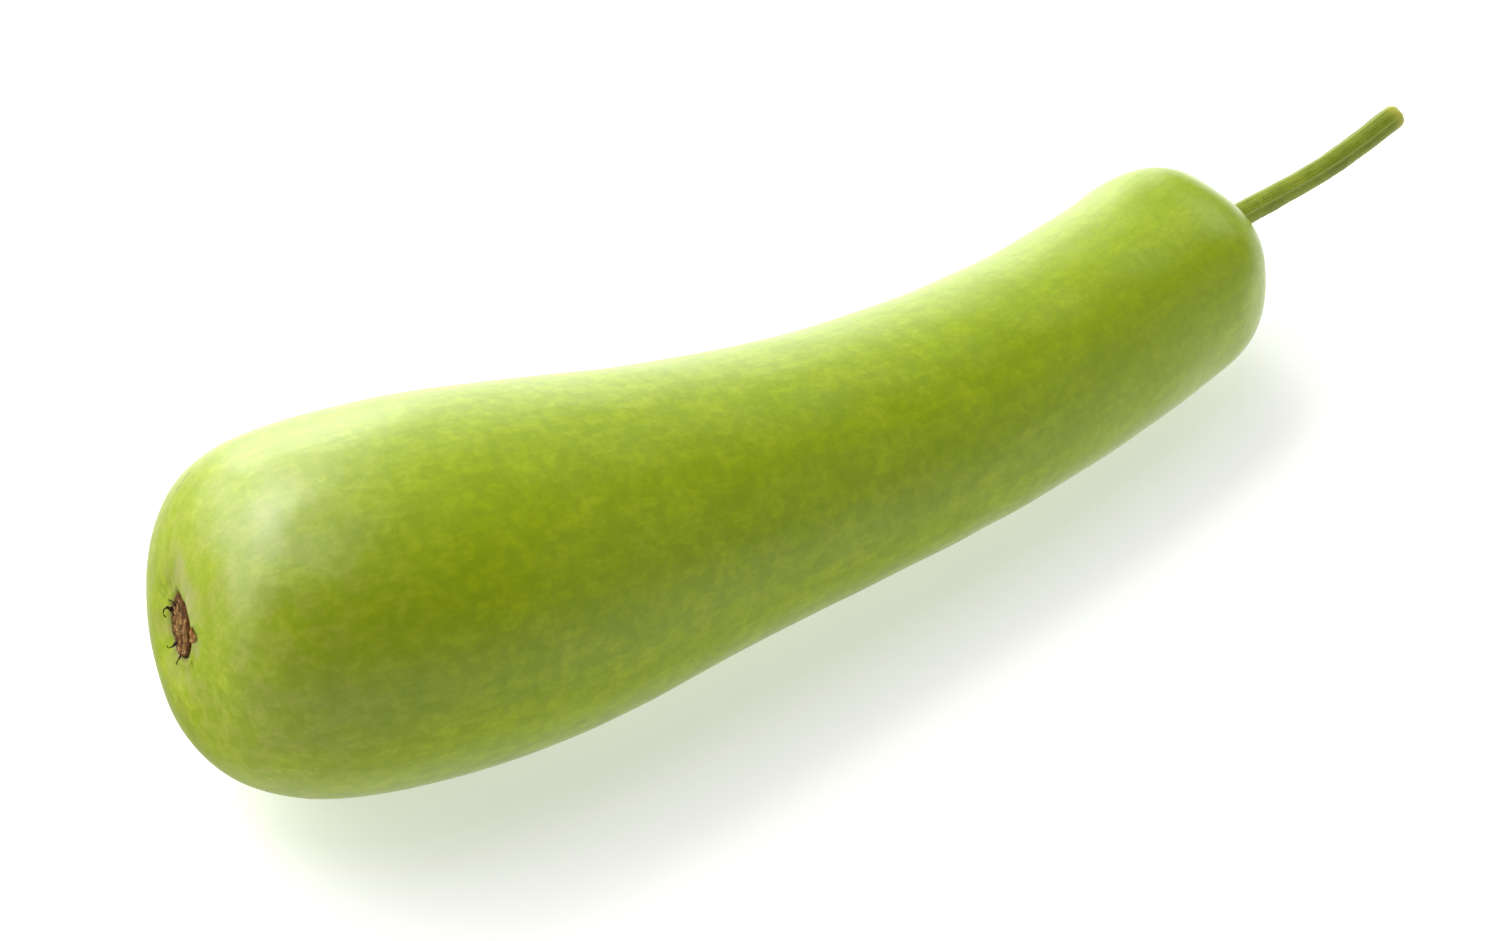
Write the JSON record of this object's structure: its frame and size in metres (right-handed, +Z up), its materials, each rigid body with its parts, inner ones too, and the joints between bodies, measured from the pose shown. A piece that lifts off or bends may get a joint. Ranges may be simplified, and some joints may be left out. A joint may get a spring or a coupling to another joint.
{
  "type": "bottle gourd",
  "caption": "Whole fresh bottle gourd as picked, lying on its side: a club-shaped green fruit with a short ribbed stem and a dry blossom scar at the wide end.",
  "frame": {"origin": "centre of the outline seen from above, on the surface that the gourd lies on", "axes": "+X runs along the gourd from the blossom end to the stem end, +Z is up"},
  "size_m": [0.4149, 0.1048, 0.1005],
  "materials": {
    "gourd_skin": "smooth waxy rind, semi-matte",
    "gourd_stem": "ribbed, finely hairy stalk, matte",
    "dry_blossom_scar": "dry cork, matte"
  },
  "bodies": {
    "root": {"fruit": "gourd_skin", "stem": "gourd_stem", "blossom_scar": "dry_blossom_scar"}
  },
  "joints": []
}
